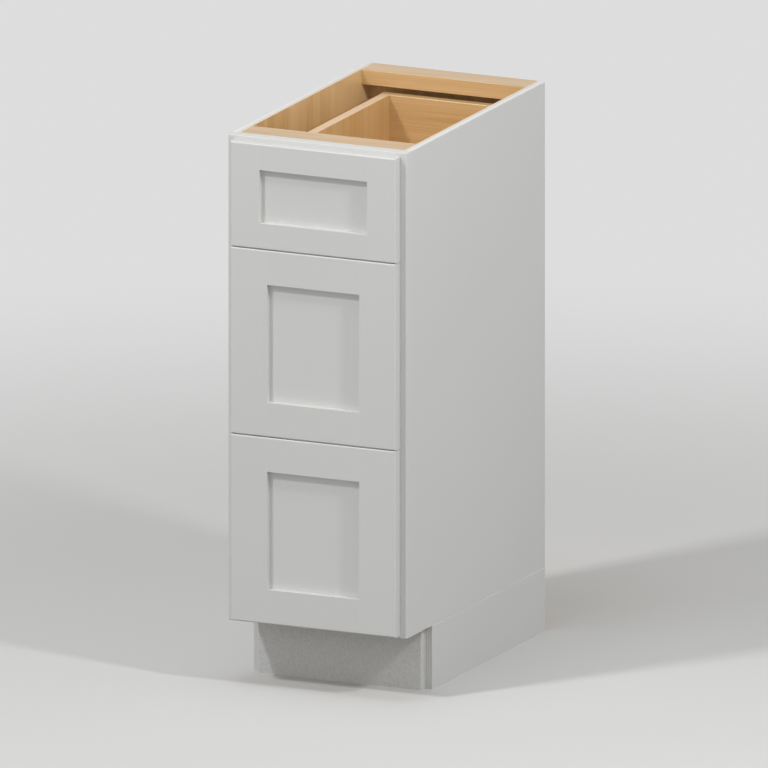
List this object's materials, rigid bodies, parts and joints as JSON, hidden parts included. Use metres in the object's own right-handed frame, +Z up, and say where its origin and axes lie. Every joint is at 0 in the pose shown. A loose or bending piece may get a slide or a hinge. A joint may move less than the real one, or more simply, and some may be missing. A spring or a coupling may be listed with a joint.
{
  "type": "base cabinet with drawers",
  "caption": "Narrow framed base cabinet, open on top, with recessed-panel overlay drawer fronts on full-extension slides and a recessed plinth.",
  "frame": {"origin": "on the floor under the middle of the cabinet, drawer fronts included", "axes": "+Z up, -Y out of the drawer fronts, +X to the right for someone who faces them"},
  "size_m": [0.3048, 0.5308, 0.8763],
  "materials": {
    "paint": "satin pale grey-white sprayed paint on hardwood and plywood, natural wood inside",
    "maple": "clear satin lacquer on natural maple",
    "maple_ply": "clear satin lacquer on maple-faced plywood",
    "slide_steel": "bright zinc plating on rolled steel",
    "screw_steel": "zinc-plated screw"
  },
  "bodies": {
    "case": {"back_panel": "maple_ply", "back_stretcher": "maple", "floor_panel": "maple_ply", "frame_bottom_rail": "paint", "frame_lower_mid_rail": "paint", "frame_stile_left": "paint", "frame_stile_right": "paint", "frame_top_rail": "paint", "frame_upper_mid_rail": "paint", "front_stretcher": "maple", "plinth_corner_blocks": "maple", "plinth_front_rail": "maple_ply", "plinth_rear_rail": "maple_ply", "plinth_side_left": "paint", "plinth_side_right": "paint", "side_panel_left": "paint", "side_panel_right": "paint", "slide_outer_members": "slide_steel", "slide_outer_screws": "screw_steel", "slide_spacers": "maple", "toe_board": "paint"},
    "top_drawer": {"top_drawer_box_back": "maple", "top_drawer_box_bottom": "maple_ply", "top_drawer_box_front": "maple", "top_drawer_box_side_left": "maple", "top_drawer_box_side_right": "maple", "top_drawer_front_bottom_rail": "paint", "top_drawer_front_panel": "paint", "top_drawer_front_stile_left": "paint", "top_drawer_front_stile_right": "paint", "top_drawer_front_top_rail": "paint", "top_drawer_screws": "screw_steel", "top_drawer_slide_inner_members": "slide_steel"},
    "top_slide_middle": {"top_drawer_slide_middle_members": "slide_steel"},
    "middle_drawer": {"middle_drawer_box_back": "maple", "middle_drawer_box_bottom": "maple_ply", "middle_drawer_box_front": "maple", "middle_drawer_box_side_left": "maple", "middle_drawer_box_side_right": "maple", "middle_drawer_front_bottom_rail": "paint", "middle_drawer_front_panel": "paint", "middle_drawer_front_stile_left": "paint", "middle_drawer_front_stile_right": "paint", "middle_drawer_front_top_rail": "paint", "middle_drawer_screws": "screw_steel", "middle_drawer_slide_inner_members": "slide_steel"},
    "middle_slide_middle": {"middle_drawer_slide_middle_members": "slide_steel"},
    "bottom_drawer": {"bottom_drawer_box_back": "maple", "bottom_drawer_box_bottom": "maple_ply", "bottom_drawer_box_front": "maple", "bottom_drawer_box_side_left": "maple", "bottom_drawer_box_side_right": "maple", "bottom_drawer_front_bottom_rail": "paint", "bottom_drawer_front_panel": "paint", "bottom_drawer_front_stile_left": "paint", "bottom_drawer_front_stile_right": "paint", "bottom_drawer_front_top_rail": "paint", "bottom_drawer_screws": "screw_steel", "bottom_drawer_slide_inner_members": "slide_steel"},
    "bottom_slide_middle": {"bottom_drawer_slide_middle_members": "slide_steel"}
  },
  "joints": [
    {"name": "top_drawer_slide", "type": "slide", "parent": "case", "child": "top_drawer", "axis": [0, -1, 0], "range_m": [0, 0.45]},
    {"name": "top_middle_member_slide", "type": "slide", "parent": "case", "child": "top_slide_middle", "axis": [0, -1, 0], "range_m": [0, 0.225]},
    {"name": "middle_drawer_slide", "type": "slide", "parent": "case", "child": "middle_drawer", "axis": [0, -1, 0], "range_m": [0, 0.45]},
    {"name": "middle_middle_member_slide", "type": "slide", "parent": "case", "child": "middle_slide_middle", "axis": [0, -1, 0], "range_m": [0, 0.225]},
    {"name": "bottom_drawer_slide", "type": "slide", "parent": "case", "child": "bottom_drawer", "axis": [0, -1, 0], "range_m": [0, 0.45]},
    {"name": "bottom_middle_member_slide", "type": "slide", "parent": "case", "child": "bottom_slide_middle", "axis": [0, -1, 0], "range_m": [0, 0.225]}
  ],
  "couplings": [
    {"joint": "top_middle_member_slide", "follows": "top_drawer_slide", "ratio": 0.5},
    {"joint": "middle_middle_member_slide", "follows": "middle_drawer_slide", "ratio": 0.5},
    {"joint": "bottom_middle_member_slide", "follows": "bottom_drawer_slide", "ratio": 0.5}
  ]
}
